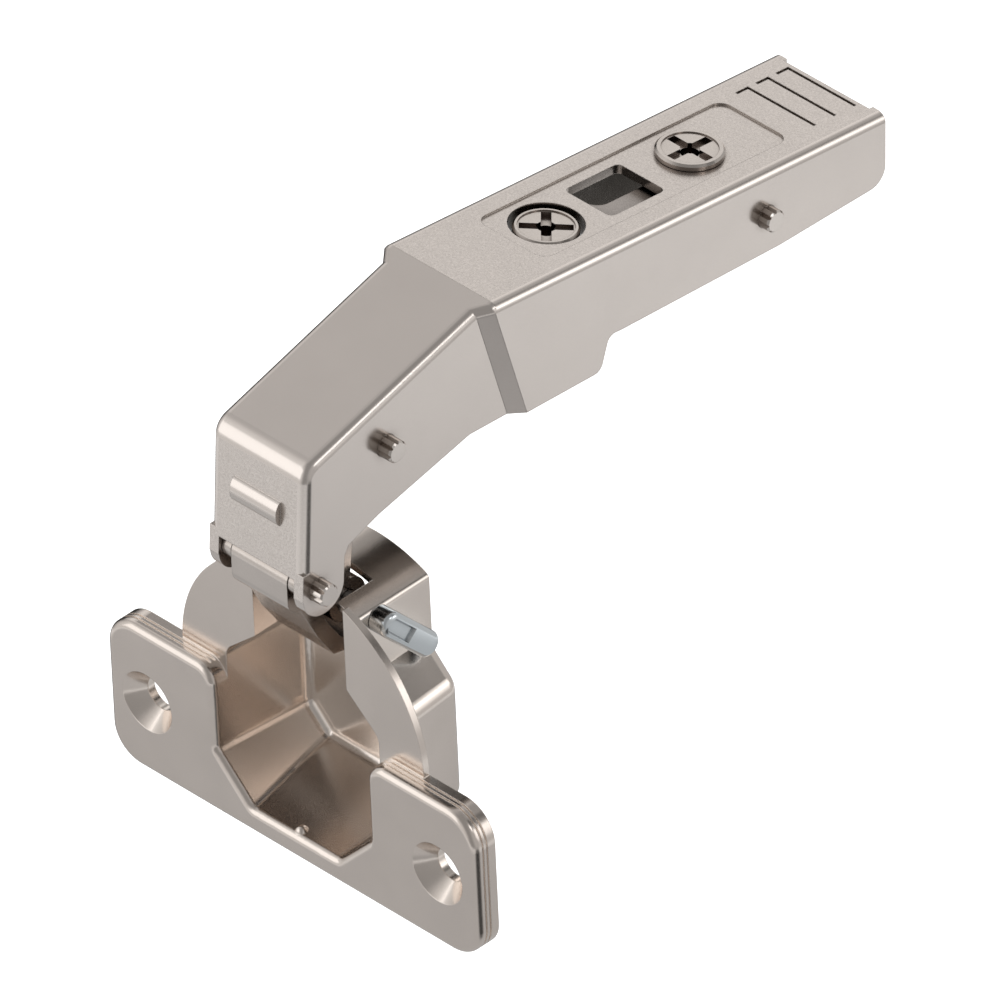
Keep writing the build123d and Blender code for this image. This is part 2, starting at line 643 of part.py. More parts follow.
def depth_screw():
    """The depth adjusting screw: a raised head on the top plate, a neck and a drive disc below."""
    head_low = -PANEL_DEPTH + 0.05
    head = Pos(0, 0, (head_low + DEPTH_HEAD_RISE) / 2) * Cylinder(
        DEPTH_HEAD_RADIUS, DEPTH_HEAD_RISE - head_low
    )
    neck_low = -SHEET - ADAPTER_GAP - ADAPTER_SHEET - 0.6
    neck = Pos(0, 0, (head_low + neck_low) / 2) * Cylinder(DEPTH_NECK_RADIUS, head_low - neck_low)
    crank = Pos(0.8, 0, neck_low - 0.6) * Cylinder(DEPTH_NECK_RADIUS - 0.9, 1.2)
    head = chamfer(head.faces().sort_by(Axis.Z)[-1].edges(), HEAD_CHAMFER)
    screw = head + neck + crank - Pos(0, 0, DEPTH_HEAD_RISE) * screw_drive(0)
    return rear_run() * Pos(0, DEPTH_SCREW_AT, 0) * screw


def adapter_top():
    """The height of the adapter's upper face under the arm's top face."""
    return -SHEET - ADAPTER_GAP


def adapter():
    """The channel inside the rear run that clips over a mounting plate."""
    top = adapter_top()
    length = ADAPTER_TO - ADAPTER_FROM
    middle = (ADAPTER_FROM + ADAPTER_TO) / 2
    outer = Pos(0, middle, top - ADAPTER_DEPTH / 2) * Box(2 * ADAPTER_HALF_WIDTH, length, ADAPTER_DEPTH)
    bends = outer.edges().filter_by(Axis.Y).group_by(Axis.Z)[-1]
    outer = fillet(bends, 1.2)
    inner_half = ADAPTER_HALF_WIDTH - ADAPTER_SHEET
    inner = Pos(0, middle, top - ADAPTER_SHEET - ADAPTER_DEPTH / 2) * Box(
        2 * inner_half, length + 2, ADAPTER_DEPTH
    )
    channel = outer - inner
    bay = 2 * (NUT_RADIUS + SIDE_CLEARANCE)
    bay = extrude(SlotCenterToCenter(2 * DEPTH_TRAVEL + 0.2, bay), 4, both=True)
    channel -= Pos(0, SIDE_SCREW_AT, top) * Rot(0, 0, 90) * bay
    room = 2 * (DEPTH_NECK_RADIUS + 0.3)
    slot = extrude(SlotCenterToCenter(2 * DEPTH_TRAVEL + 1, room), 4, both=True)
    channel -= Pos(0, DEPTH_SCREW_AT, top) * Rot(0, 0, 90) * slot
    opening = extrude(RectangleRounded(VIEW_WIDTH, VIEW_LENGTH, VIEW_CORNER_RADIUS), 3, both=True)
    view_x = VIEW_WIDTH / 2 - ADAPTER_HALF_WIDTH + ADAPTER_SHEET
    channel -= Pos(view_x, VIEW_FROM + VIEW_LENGTH / 2, top) * opening
    pin_slot = extrude(SlotCenterToCenter(2 * DEPTH_TRAVEL + 0.4, 2 * (RIVET_RADIUS + 0.15)), 20, both=True)
    rivet_place = Pos(0, REAR_RIVET_AT, -REAR_RIVET_DROP)
    channel -= rivet_place * Rot(0, 90, 0) * Rot(0, 0, 90) * pin_slot
    local = (
        (HOOK_PIN_AT, -ADAPTER_DEPTH + 0.4, HOOK_PIN_RADIUS),
        (CLIP_PIN_AT, -CLIP_PIN_DROP, CLIP_PIN_RADIUS),
    )
    for along, height, radius in local:
        place = Pos(0, along, height) * Rot(0, 90, 0)
        channel -= place * Cylinder(radius + FIXED_CLEARANCE, 40)
    return rear_run() * channel


def hook_pin():
    """The cross pin at the front of the adapter that hooks over the mounting plate."""
    place = Pos(0, HOOK_PIN_AT, -ADAPTER_DEPTH + 0.4) * Rot(0, 90, 0)
    return rear_run() * place * Cylinder(HOOK_PIN_RADIUS, 2 * ADAPTER_HALF_WIDTH)


def clip_pin():
    """The pin that the clip lever turns on."""
    place = Pos(0, CLIP_PIN_AT, -CLIP_PIN_DROP) * Rot(0, 90, 0)
    return rear_run() * place * Cylinder(CLIP_PIN_RADIUS, 2 * ADAPTER_HALF_WIDTH)


def clip_lever():
    """The folded release lever: two cheeks on the clip pin, a hook and a thumb tab."""
    cheek_points = [
        (CLIP_PIN_AT - 2.0, -3.6),
        (CLIP_PIN_AT + 1.8, -3.6),
        (CLIP_PIN_AT + 8.4, -4.9),
        (CLIP_PIN_AT + 8.4, -6.3),
        (CLIP_PIN_AT + 2.4, -7.0),
        (CLIP_PIN_AT - 0.4, -9.6),
        (CLIP_PIN_AT - 2.6, -8.6),
        (CLIP_PIN_AT - 2.0, -6.2),
    ]
    profile = make_face(Polyline(*cheek_points, close=True))
    cheeks = extrude(Plane.YZ * profile, CLIP_HALF_WIDTH, both=True)
    hollow_low = Pos(0, CLIP_PIN_AT, -10 - 4.9 - CLIP_SHEET) * Box(
        2 * (CLIP_HALF_WIDTH - CLIP_SHEET), 40, 20
    )
    lever = cheeks - hollow_low
    bore = Pos(0, CLIP_PIN_AT, -CLIP_PIN_DROP) * Rot(0, 90, 0) * Cylinder(
        CLIP_PIN_RADIUS + RUNNING_CLEARANCE, 40
    )
    return rear_run() * (lever - bore)


def spring_coil_radius():
    """The radius of the closing spring's coil, measured to the middle of its wire."""
    return CUP_PIN_RADIUS + SPRING_PLAY + SPRING_WIRE / 2


def closing_spring():
    """The closing spring: a coil round the outer cup pivot with a straight leg at each end."""
    length = SPRING_PITCH * SPRING_TURNS
    coil = Helix(SPRING_PITCH, length, spring_coil_radius())
    first = coil @ 0 - (coil % 0) * SPRING_LEG
    last = coil @ 1 + (coil % 1) * SPRING_LEG
    path = Wire([Line(first, coil @ 0).edge(), coil.edge(), Line(coil @ 1, last).edge()])
    wire = RegularPolygon(SPRING_WIRE / 2, SPRING_WIRE_SIDES)
    spring = sweep(Plane(origin=first, z_dir=coil % 0) * wire, path=path)
    place = Location((-length / 2, OUTER_CUP_PIVOT[0], OUTER_CUP_PIVOT[1]), (0, 90, 0))
    return place * Rot(0, 0, SPRING_LEG_TURN) * spring


def clip_spring():
    """The bent leaf spring that presses the clip lever shut."""
    points = [
        (CLIP_PIN_AT + 7.6, -4.55),
        (CLIP_PIN_AT + 3.0, adapter_top() - ADAPTER_SHEET - 0.22),
        (CLIP_PIN_AT - 6.0, adapter_top() - ADAPTER_SHEET - 0.22),
    ]
    strip = trace(Polyline(*points), CLIP_SPRING_SHEET)
    return rear_run() * extrude(Plane.YZ * strip, 2.2, both=True)


def build_nodes():
    """Every separate piece of the hinge by name."""
    rear_rivet = from_rear_run(REAR_RIVET_AT, -REAR_RIVET_DROP)
    return {
        "cup": cup(),
        "cup_pin": cup_pin(),
        "outer_link": outer_link(),
        "inner_link": inner_link(),
        "left_link_spacer": link_spacer(-1),
        "right_link_spacer": link_spacer(1),
        "hinge_arm": hinge_arm(),
        "front_rivet": splined_rivet(FRONT_ARM_PIVOT, FRONT_HALF_WIDTH, FRONT_RIVET_STICKOUT),
        "middle_rivet": splined_rivet(REAR_ARM_PIVOT, FRONT_HALF_WIDTH, FRONT_RIVET_STICKOUT),
        "rear_rivet": splined_rivet(rear_rivet, REAR_HALF_WIDTH, REAR_RIVET_STICKOUT),
        "side_screw": side_screw(),
        "depth_screw": depth_screw(),
        "adapter": adapter(),
        "hook_pin": hook_pin(),
        "clip_pin": clip_pin(),
        "clip_lever": clip_lever(),
        "clip_spring": clip_spring(),
        "closing_spring": closing_spring(),
        "side_screw_nut": side_screw_nut(),
    }


os.makedirs("parts", exist_ok=True)
for name, solid in build_nodes().items():
    export_step(solid, f"parts/{name}.step")
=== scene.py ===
"""Looks, lights and camera for a concealed cabinet hinge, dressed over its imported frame.

Lengths are in metres and directions are in the frame's own axes: X along the pivots,
+Y into the door and +Z towards the arm.
"""
import logging
import math
from dataclasses import dataclass, field
from enum import Enum

import bmesh
import bpy
from mathutils import Matrix, Vector


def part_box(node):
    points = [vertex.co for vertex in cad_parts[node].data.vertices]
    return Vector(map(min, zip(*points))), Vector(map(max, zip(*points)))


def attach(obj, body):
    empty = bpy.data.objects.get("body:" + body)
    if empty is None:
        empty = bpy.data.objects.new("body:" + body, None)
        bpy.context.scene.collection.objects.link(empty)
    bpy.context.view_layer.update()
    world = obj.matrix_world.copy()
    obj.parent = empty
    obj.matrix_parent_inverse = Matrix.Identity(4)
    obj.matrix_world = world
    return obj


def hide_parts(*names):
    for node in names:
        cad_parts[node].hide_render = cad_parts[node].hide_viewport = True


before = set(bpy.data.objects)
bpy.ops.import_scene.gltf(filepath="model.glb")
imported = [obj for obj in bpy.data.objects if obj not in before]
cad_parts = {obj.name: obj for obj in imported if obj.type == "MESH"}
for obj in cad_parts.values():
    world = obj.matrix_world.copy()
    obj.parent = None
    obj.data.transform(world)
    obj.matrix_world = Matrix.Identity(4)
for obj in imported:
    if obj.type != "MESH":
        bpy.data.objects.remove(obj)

log = logging.getLogger("hinge_scene")

Socket = bpy.types.NodeSocket
Triple = tuple[float, float, float]

MM = 0.001

WHITE = (1.0, 1.0, 1.0, 1.0)
BLACK = (0.0, 0.0, 0.0, 1.0)

NOISE_RANGE = (0.3, 0.7)
NOISE_ROUGHNESS = 0.55
GRAIN_DETAIL = 3.0
PATCH_SIZE = 7.0 * MM
PATCH_DETAIL = 2.0
HOLLOW_SAMPLES = 6
EDGE_SAMPLES = 4

STIPPLE_SIZE = 0.22 * MM
STIPPLE_DETAIL = 2.0
STIPPLE_DARKENING = 0.13
STIPPLE_FACING_LIMIT = 0.9985
REAR_TOP_FACING = (0.0, 0.1219, 0.9925)
FRONT_PLATE_FACING = (0.0, -0.9988, 0.0488)

PIN_SEGMENTS = 36
ROUNDING_SEGMENTS = 6
CHAMFER_SEGMENTS = 2
SHARP_ANGLE = math.radians(35)
FLUSH = 0.005 * MM

FLOOR_COLOUR = (0.80, 0.80, 0.80, 1.0)
FLOOR_SEGMENTS = 96
WARM_WHITE = (1.0, 0.985, 0.97, 1.0)
CLIP_NEAR = 0.5
CLIP_FAR = 2.0


class Finish(Enum):
    """The surface finishes that the hinge's pieces have."""

    CUP = "cup_nickel"
    ARM = "arm_nickel"
    LINK = "link_steel"
    ADAPTER = "adapter_steel"
    RIVET = "rivet_steel"
    ZINC = "bright_zinc"
    SCREW = "screw_steel"
    SPRING = "spring_steel"


NODE_FINISH: dict[str, Finish] = {
    "cup": Finish.CUP,
    "cup_pin": Finish.ZINC,
    "closing_spring": Finish.SPRING,
    "outer_link": Finish.LINK,
    "inner_link": Finish.LINK,
    "left_link_spacer": Finish.LINK,
    "right_link_spacer": Finish.LINK,
    "hinge_arm": Finish.ARM,
    "front_rivet": Finish.RIVET,
    "middle_rivet": Finish.RIVET,
    "rear_rivet": Finish.RIVET,
    "side_screw_nut": Finish.ZINC,
    "side_screw": Finish.SCREW,
    "depth_screw": Finish.SCREW,
    "adapter": Finish.ADAPTER,
    "hook_pin": Finish.RIVET,
    "clip_pin": Finish.RIVET,
    "clip_spring": Finish.SPRING,
    "clip_lever": Finish.ADAPTER,
}


@dataclass(frozen=True)
class MetalLook:
    """How one metal finish looks.

    Attributes:
        colour: linear base colour.
        roughness: middle roughness of the surface.
        spread: how far the roughness varies to both sides.
        stain: how far the colour darkens in the soft patches.
        grain: size of the fine grain, in metres.
        grain_height: height of the fine grain, in metres.
        edge: radius of the softened edges, in metres.
        stretch: how far the grain is drawn out along Y, for brushed surfaces.
        painted_hollow_colour: linear colour painted deep inside corners and hollows by ambient
            occlusion: painted darkening on most finishes, and painted light, brighter than the
            metal, on the cup.
        reach: how near other surfaces must be for the painted shading of a corner or hollow, in
            metres.
        closed: openness at which a hollow takes the painted hollow colour in full.
        opened: openness from which a surface has its own colour, free of painted shading.
        stippled: facings of the flat faces that have the stippled skin of rolled sheet.
    """

    colour: Triple
    roughness: float
    spread: float = 0.05
    stain: float = 0.08
    grain: float = 0.25 * MM
    grain_height: float = 0.0008 * MM
    edge: float = 0.15 * MM
    stretch: float = 1.0
    # Painted shading: the colour that ambient occlusion paints into corners and hollows.
    painted_hollow_colour: Triple = (0.20, 0.16, 0.135)
    reach: float = 11.0 * MM
    closed: float = 0.30
    opened: float = 0.90
    stippled: tuple[Triple, ...] = ()


# The painted hollow colours: painted darkening in corners and hollows, except the cup's, which is
# brighter than its nickel and paints light into them.
LOOKS: dict[Finish, MetalLook] = {
    # Painted light: the cup's inside is painted brighter than its nickel.
    Finish.CUP: MetalLook(
        (0.70, 0.635, 0.585), 0.20, spread=0.02, stain=0.05, painted_hollow_colour=(0.90, 0.825, 0.76),
        reach=14.0 * MM,
    ),
    # Painted darkening: the arm's inside and the grooves on its top.
    Finish.ARM: MetalLook(
        (0.70, 0.645, 0.605), 0.21, spread=0.02, stain=0.03, painted_hollow_colour=(0.20, 0.17, 0.148),
        reach=22.0 * MM, opened=0.78, stippled=(REAR_TOP_FACING, FRONT_PLATE_FACING),
    ),
    Finish.LINK: MetalLook((0.62, 0.57, 0.53), 0.22, stretch=0.3),
    # Painted darkening: the adapter's hollows, seen through the arm's window, are painted near
    # black.
    Finish.ADAPTER: MetalLook(
        (0.46, 0.42, 0.395), 0.30, painted_hollow_colour=(0.035, 0.03, 0.025), reach=25.0 * MM, closed=0.50
    ),
    # Painted darkening round the rivets' bases.
    Finish.RIVET: MetalLook(
        (0.68, 0.63, 0.59), 0.16, edge=0.06 * MM, painted_hollow_colour=(0.36, 0.31, 0.275), reach=2.5 * MM
    ),
    Finish.ZINC: MetalLook(
        (0.66, 0.70, 0.725), 0.17, stain=0.03, edge=0.12 * MM, painted_hollow_colour=(0.26, 0.27, 0.28),
        reach=2.0 * MM,
    ),
    # Painted darkening in the screws' recesses.
    Finish.SCREW: MetalLook(
        (0.62, 0.57, 0.53), 0.20, edge=0.06 * MM, painted_hollow_colour=(0.12, 0.09, 0.075), reach=6.0 * MM
    ),
    Finish.SPRING: MetalLook((0.38, 0.36, 0.35), 0.30, edge=0.05 * MM),
}


class NodeGraph:
    """Adds nodes and links to the node tree of one material or world."""

    def __init__(self, tree: bpy.types.NodeTree) -> None:
        """Start from an empty tree.

        Args:
            tree: the node tree.
        """
        tree.nodes.clear()
        self.nodes = tree.nodes
        self.links = tree.links

    def feed(self, target: Socket, value: object) -> None:
        """Give an input a value of its own, or link another node's output to it.

        Args:
            target: the input.
            value: the value or the output.
        """
        if isinstance(value, bpy.types.NodeSocket):
            self.links.new(value, target)
        else:
            target.default_value = value

    def node(self, kind: str, **inputs: object) -> bpy.types.Node:
        """Add a node.

        Args:
            kind: the node's type name.
            **inputs: values or outputs by the input's name, with underscores for spaces.

        Returns:
            The new node.
        """
        made = self.nodes.new(kind)
        for name, value in inputs.items():
            self.feed(made.inputs[name.replace("_", " ")], value)
        return made

    def math(self, operation: str, first: Socket, second: Socket | float) -> Socket:
        """Join two values.

        Args:
            operation: the operation's name.
            first: the first value.
            second: the second value.

        Returns:
            The result.
        """
        made = self.nodes.new("ShaderNodeMath")
        made.operation = operation
        self.feed(made.inputs[0], first)
        self.feed(made.inputs[1], second)
        return made.outputs["Value"]

    def measure(self, operation: str, first: Socket, second: Triple = (0.0, 0.0, 0.0)) -> Socket:
        """Measure one vector, alone or against another.

        Args:
            operation: the operation's name.
            first: the vector that is measured.
            second: what it is measured against.

        Returns:
            The measure.
        """
        made = self.nodes.new("ShaderNodeVectorMath")
        made.operation = operation
        self.feed(made.inputs[0], first)
        self.feed(made.inputs[1], second)
        return made.outputs["Value"]

    def ranged(
        self,
        value: Socket,
        source: tuple[float, float],
        result: tuple[float, float],
        smooth: bool = False,
    ) -> Socket:
        """Map a value from one range onto another.

        Args:
            value: the value.
            source: the range that it comes from.
            result: the range that it goes to.
            smooth: whether it starts and ends softly.

        Returns:
            The mapped value.
        """
        mapped = self.nodes.new("ShaderNodeMapRange")
        if smooth:
            mapped.interpolation_type = "SMOOTHSTEP"
        for name, bound in zip(("From Min", "From Max", "To Min", "To Max"), (*source, *result)):
            mapped.inputs[name].default_value = bound
        self.feed(mapped.inputs["Value"], value)
        return mapped.outputs["Result"]

    def mixed_colour(self, share: Socket, first: object, second: object) -> Socket:
        """Mix two colours.

        Args:
            share: the second colour's share.
            first: the first colour, a value or an output.
            second: the second colour, a value or an output.

        Returns:
            The mixed colour.
        """
        mix = self.nodes.new("ShaderNodeMix")
        mix.data_type = "RGBA"
        for place, value in ((0, share), (6, first), (7, second)):
            self.feed(mix.inputs[place], value)
        return mix.outputs[2]

    def mixed_shader(self, share: Socket, first: Socket, second: Socket) -> Socket:
        """Mix two shaders.

        Args:
            share: the second shader's share.
            first: the first shader.
            second: the second shader.

        Returns:
            The mixed shader.
        """
        mix = self.nodes.new("ShaderNodeMixShader")
        for target, value in zip(mix.inputs, (share, first, second)):
            self.feed(target, value)
        return mix.outputs["Shader"]


class MetalMaterial:
    """Builds one procedural metal from its look."""

    def __init__(self, finish: Finish, look: MetalLook) -> None:
        """Set up an empty material.

        Args:
            finish: the finish that names the material.
            look: its values.
        """
        self.look = look
        self.material = bpy.data.materials.new(finish.value)
        self.material.use_nodes = True
        self.graph = NodeGraph(self.material.node_tree)

    def noise(self, place: Socket, size: float, detail: float) -> Socket:
        """Add a noise texture.

        Args:
            place: where it is read.
            size: size of its features, in metres.
            detail: number of finer layers.

        Returns:
            The noise's value, around one half.
        """
        texture = self.graph.node(
            "ShaderNodeTexNoise", Vector=place, Scale=1.0 / size, Detail=detail,
            Roughness=NOISE_ROUGHNESS,
        )
        return texture.outputs["Fac"]

    def faces_along(self, facing: Triple) -> Socket:
        """Find the flat faces that look one way.

        Args:
            facing: the direction they look in.

        Returns:
            A value that is 1 on them and 0 elsewhere.
        """
        normal = self.graph.node("ShaderNodeNewGeometry").outputs["True Normal"]
        nearness = self.graph.measure("DOT_PRODUCT", normal, facing)
        return self.graph.math("GREATER_THAN", nearness, STIPPLE_FACING_LIMIT)

    def stipple(self, place: Socket, base: Socket, roughness: Socket) -> tuple[Socket, Socket]:
        """Add the stippled skin of rolled sheet to the flat faces that have it.

        Args:
            place: where the pattern is read.
            base: the base colour without it.
            roughness: the roughness without it.

        Returns:
            The base colour and the roughness with it.
        """
        graph = self.graph
        masks = [self.faces_along(facing) for facing in self.look.stippled]
        mask = masks[0]
        for other in masks[1:]:
            mask = graph.math("MAXIMUM", mask, other)
        specks = self.noise(place, STIPPLE_SIZE, STIPPLE_DETAIL)
        depth = graph.math(
            "MULTIPLY", graph.ranged(specks, NOISE_RANGE, (0.0, STIPPLE_DARKENING)), mask
        )
        return graph.mixed_colour(depth, base, BLACK), graph.math("ADD", roughness, depth)

    def base_colour(self, place: Socket) -> Socket:
        """Colour the surface, with soft patches, and paint shading into its corners and hollows.

        Args:
            place: where the patches are read.

        Returns:
            The base colour.
        """
        look, graph = self.look, self.graph
        dark = tuple(channel * (1.0 - look.stain) for channel in look.colour)
        patches = graph.ranged(self.noise(place, PATCH_SIZE, PATCH_DETAIL), NOISE_RANGE, (0.0, 1.0))
        surface = graph.mixed_colour(patches, (*look.colour, 1.0), (*dark, 1.0))
        # Painted shading: ambient occlusion mixes the painted hollow colour into corners and
        # hollows, darker on most finishes, painted light on the cup.
        hollow = graph.node("ShaderNodeAmbientOcclusion", Distance=look.reach)
        hollow.samples = HOLLOW_SAMPLES
        openness = graph.ranged(hollow.outputs["AO"], (look.closed, look.opened), (0.0, 1.0))
        return graph.mixed_colour(openness, (*look.painted_hollow_colour, 1.0), surface)

    def surface_normal(self, grain: Socket) -> Socket:
        """Soften the edges and lay the fine grain over them.

        Args:
            grain: the fine grain.

        Returns:
            The normal.
        """
        soft = self.graph.node("ShaderNodeBevel", Radius=self.look.edge)
        soft.samples = EDGE_SAMPLES
        bump = self.graph.node(
            "ShaderNodeBump", Strength=1.0, Distance=self.look.grain_height, Height=grain,
            Normal=soft.outputs["Normal"],
        )
        return bump.outputs["Normal"]

    def build(self) -> bpy.types.Material:
        """Build the node tree.

        Returns:
            The finished material.
        """
        look, graph = self.look, self.graph
        place = graph.node("ShaderNodeTexCoord").outputs["Object"]
        drawn_out = graph.node("ShaderNodeMapping", Vector=place, Scale=(1.0, look.stretch, 1.0))
        grain = self.noise(drawn_out.outputs["Vector"], look.grain, GRAIN_DETAIL)
        base = self.base_colour(place)
        extremes = (look.roughness - look.spread, look.roughness + look.spread)
        roughness = graph.ranged(grain, NOISE_RANGE, extremes)
        if look.stippled:
            base, roughness = self.stipple(place, base, roughness)
        shader = graph.node(
            "ShaderNodeBsdfPrincipled", Metallic=1.0, Base_Color=base, Roughness=roughness,
            Normal=self.surface_normal(grain),
        )
        graph.node("ShaderNodeOutputMaterial", Surface=shader.outputs["BSDF"])
        return self.material


@dataclass(frozen=True)
class SoftLight:
    """One large soft light.

    Attributes:
        name: its object's name.
        towards: direction from the hinge to the light.
        distance: how far away it stands, in metres.
        size: its width and height, in metres.
        power: in watts.
    """

    name: str
    towards: Triple
    distance: float
    size: tuple[float, float]
    power: float


@dataclass(frozen=True)
class PhotoView:
    """The photograph's view as a camera.

    Attributes:
        back: direction from the hinge to the camera.
        up: direction that stands upright in the picture.
        centre: the point at the picture's centre, in metres.
        frame_width: width of the picture at that point, in metres.
        lens: focal length in millimetres; long, because the view is nearly parallel.
        sensor: sensor width in millimetres.
    """

    back: Triple = (0.5774, -0.5460, 0.6072)
    up: Triple = (0.0, 0.0530, 0.9986)
    centre: Triple = (0.0, 33.27 * MM, 11.10 * MM)
    frame_width: float = 109.2 * MM
    lens: float = 1000.0
    sensor: float = 36.0


@dataclass(frozen=True)
class Glow:
    """One round bright or dark stretch of the surroundings, as the metal sees it.

    Attributes:
        towards: direction from the hinge to its middle.
        inner: angle from its middle to where it starts to fade, in degrees.
        outer: angle from its middle to where it has faded out, in degrees.
        level: what it adds to the surroundings; negative makes them darker.
    """

    towards: Triple
    inner: float
    outer: float
    level: float


@dataclass(frozen=True)
class DarkSpot:
    """One dark round patch of the floor, as the metal sees it.

    Attributes:
        place: its middle along X and Y, in metres.
        inner: radius of its dark part, in metres.
        outer: radius at which it has faded out, in metres.
    """

    place: tuple[float, float]
    inner: float
    outer: float


@dataclass
class Studio:
    """The camera, the lights, the pale floor and the white surroundings.

    Attributes:
        view: the camera's view.
        lights: the soft lights.
        glows: the bright and dark stretches of the surroundings.
        ground_level: brightness of the surroundings without them.
        darkest: least brightness of the surroundings.
        dark_spots: the dark patches of the floor.
        dark_spot_level: share of the floor's brightness that is left in them.
        near_floor_level: the floor's brightness below the hinge, where it is darker as a painted
            shadow of the hinge, seen only by the metal.
        far_floor_level: the floor's brightness further out.
        near_floor_radius: where it starts to become brighter, in metres.
        far_floor_radius: from where it is brightest, in metres.
        floor_drop: how far the floor lies below the origin, in metres.
        floor_radius: radius of the floor, in metres.
    """

    view: PhotoView = field(default_factory=PhotoView)
    lights: tuple[SoftLight, ...] = (
        SoftLight("bend_light", (0.76, 0.60, 0.25), 0.45, (0.14, 0.14), 0.04),
        SoftLight("jog_light", (0.80, 0.12, 0.58), 0.45, (0.12, 0.12), 0.08),
        SoftLight("front_light", (-0.50, -0.82, 0.28), 0.45, (0.40, 0.36), 0.30),
    )
    glows: tuple[Glow, ...] = (
        # What the arm's tops and the cup's roof mirror.
        Glow((-0.58, 0.71, 0.40), 14, 42, 0.63),
        Glow((-0.56, 0.51, 0.65), 5, 13, -0.80),
        Glow((-0.58, 0.05, 0.81), 18, 42, 0.21),
        # Broad light from the front, the right and behind.
        Glow((-0.60, -0.78, 0.10), 30, 65, 0.45),
        Glow((0.95, 0.20, 0.10), 25, 55, 0.20),
        Glow((0.20, 0.95, 0.05), 25, 60, 0.25),
        # Dark and bright bands along the bends and the cup's shoulder.
        Glow((-0.80, 0.55, -0.22), 16, 34, -0.50),
        Glow((0.54, 0.58, 0.61), 6, 18, -0.32),
        Glow((0.78, 0.60, 0.20), 6, 22, 0.70),
    )
    ground_level: float = 0.34
    darkest: float = 0.03
    dark_spots: tuple[DarkSpot, ...] = (
        DarkSpot((245.0 * MM, -5.0 * MM), 75.0 * MM, 150.0 * MM),
        DarkSpot((-190.0 * MM, 145.0 * MM), 100.0 * MM, 175.0 * MM),
    )
    dark_spot_level: float = 0.10
    near_floor_level: float = 0.55
    far_floor_level: float = 0.90
    near_floor_radius: float = 205.0 * MM
    far_floor_radius: float = 292.0 * MM
    floor_drop: float = 150.0 * MM
    floor_radius: float = 350.0 * MM

    def camera(self) -> None:
        """Place the camera at the photograph's view."""
        view = self.view
        back = Vector(view.back).normalized()
        right = Vector(view.up).cross(back).normalized()
        up = back.cross(right)
        distance = view.frame_width * view.lens / view.sensor
        data = bpy.data.cameras.new("photo_camera")
        data.lens = view.lens
        data.sensor_width = view.sensor
        data.clip_start = distance * CLIP_NEAR
        data.clip_end = distance * CLIP_FAR
        camera = bpy.data.objects.new("photo_camera", data)
        turn = Matrix((right, up, back)).transposed().to_4x4()
        camera.matrix_world = Matrix.Translation(Vector(view.centre) + back * distance) @ turn
        bpy.context.scene.collection.objects.link(camera)
        bpy.context.scene.camera = camera

    def light(self, soft: SoftLight) -> None:
        """Place one soft light, facing the hinge.

        Args:
            soft: the light.
        """
        data = bpy.data.lights.new(soft.name, "AREA")
        data.shape = "RECTANGLE"
        data.size, data.size_y = soft.size
        data.energy = soft.power
        lamp = bpy.data.objects.new(soft.name, data)
        towards = Vector(soft.towards).normalized()
        place = Matrix.Translation(Vector(self.view.centre) + towards * soft.distance)
        lamp.matrix_world = place @ towards.to_track_quat("Z", "Y").to_matrix().to_4x4()
        bpy.context.scene.collection.objects.link(lamp)

    def glow(self, graph: NodeGraph, direction: Socket, spot: Glow) -> Socket:
        """Work out one stretch of the surroundings.

        Args:
            graph: the node graph that holds it.
            direction: the direction that is looked along.
            spot: the stretch.

        Returns:
            What it adds in that direction.
        """
        nearness = graph.measure("DOT_PRODUCT", direction, Vector(spot.towards).normalized())
        fade = tuple(math.cos(math.radians(angle)) for angle in (spot.outer, spot.inner))
        return graph.ranged(nearness, fade, (0.0, spot.level), smooth=True)

    def surroundings(self) -> None:
        """Make the surroundings white to the camera, and light and dark in places to the metal."""
        world = bpy.data.worlds.new("studio")
        world.use_nodes = True
        graph = NodeGraph(world.node_tree)
        direction = graph.node("ShaderNodeTexCoord").outputs["Generated"]
        level: Socket | float = self.ground_level
        for spot in self.glows:
            level = graph.math("ADD", self.glow(graph, direction, spot), level)
        level = graph.math("MAXIMUM", level, self.darkest)
        graded = graph.node("ShaderNodeBackground", Color=WARM_WHITE, Strength=level)
        white = graph.node("ShaderNodeBackground", Color=WHITE)
        shown = graph.mixed_shader(
            graph.node("ShaderNodeLightPath").outputs["Is Camera Ray"],
            graded.outputs["Background"],
            white.outputs["Background"],
        )
        graph.node("ShaderNodeOutputWorld", Surface=shown)
        bpy.context.scene.world = world

    def floor_level(self, graph: NodeGraph) -> Socket:
        """Work out how bright the floor is to the metal, with a painted shadow of the hinge below
        it.

        Args:
            graph: the node graph that holds it.

        Returns:
            The brightness.
        """
        place = graph.node("ShaderNodeTexCoord").outputs["Object"]
        # Painted shadow: the floor darkens towards the hinge, for the metal's reflections only.
        radii = (self.near_floor_radius, self.far_floor_radius)
        level = graph.ranged(
            graph.measure("LENGTH", place),
            tuple(math.hypot(radius, self.floor_drop) for radius in radii),
            (self.near_floor_level, self.far_floor_level),
            smooth=True,
        )
        for spot in self.dark_spots:
            away = graph.measure("DISTANCE", place, (*spot.place, -self.floor_drop))
            left = graph.ranged(
                away, (spot.inner, spot.outer), (self.dark_spot_level, 1.0), smooth=True
            )
            level = graph.math("MULTIPLY", level, left)
        return level

